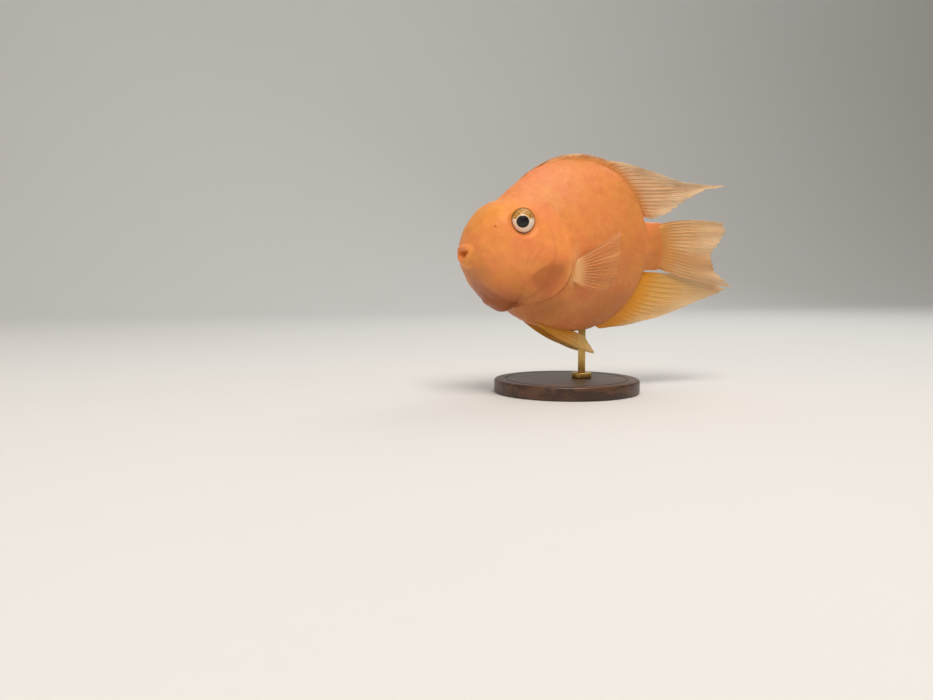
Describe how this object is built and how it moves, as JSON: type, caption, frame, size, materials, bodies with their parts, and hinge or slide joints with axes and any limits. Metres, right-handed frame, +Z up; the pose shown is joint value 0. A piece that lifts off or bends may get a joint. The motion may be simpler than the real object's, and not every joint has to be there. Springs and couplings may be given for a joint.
{
  "type": "blood parrot cichlid",
  "caption": "Still, life-size blood parrot cichlid with a deep round body, small beak-like mouth and rayed fins, held on a plain round display stand.",
  "frame": {"origin": "middle of the bounding box at the underside of the stand's base", "axes": "-X toward the snout and +X toward the tail, -Y toward the fish's left side, +Z up"},
  "size_m": [0.1848, 0.086, 0.1395],
  "materials": {
    "head_skin": "satin, moist",
    "body_skin": "satin, finely scaled",
    "gill_skin": "satin, moist",
    "fin": "thin, slightly see-through membrane",
    "eye": "glossy",
    "base_wood": "oiled dark wood",
    "brass": "satin"
  },
  "bodies": {
    "root": {"head": "head_skin", "gill_cover_left": "gill_skin", "gill_cover_right": "gill_skin", "trunk": "body_skin", "tail_stalk": "body_skin", "eye_left": "eye", "eye_right": "eye", "dorsal_fin": "fin", "anal_fin": "fin", "caudal_fin": "fin", "pectoral_fin_left": "fin", "pectoral_fin_right": "fin", "pelvic_fin_left": "fin", "pelvic_fin_right": "fin", "stand_base": "base_wood", "stand_collar": "brass", "stand_rod": "brass"}
  },
  "joints": []
}
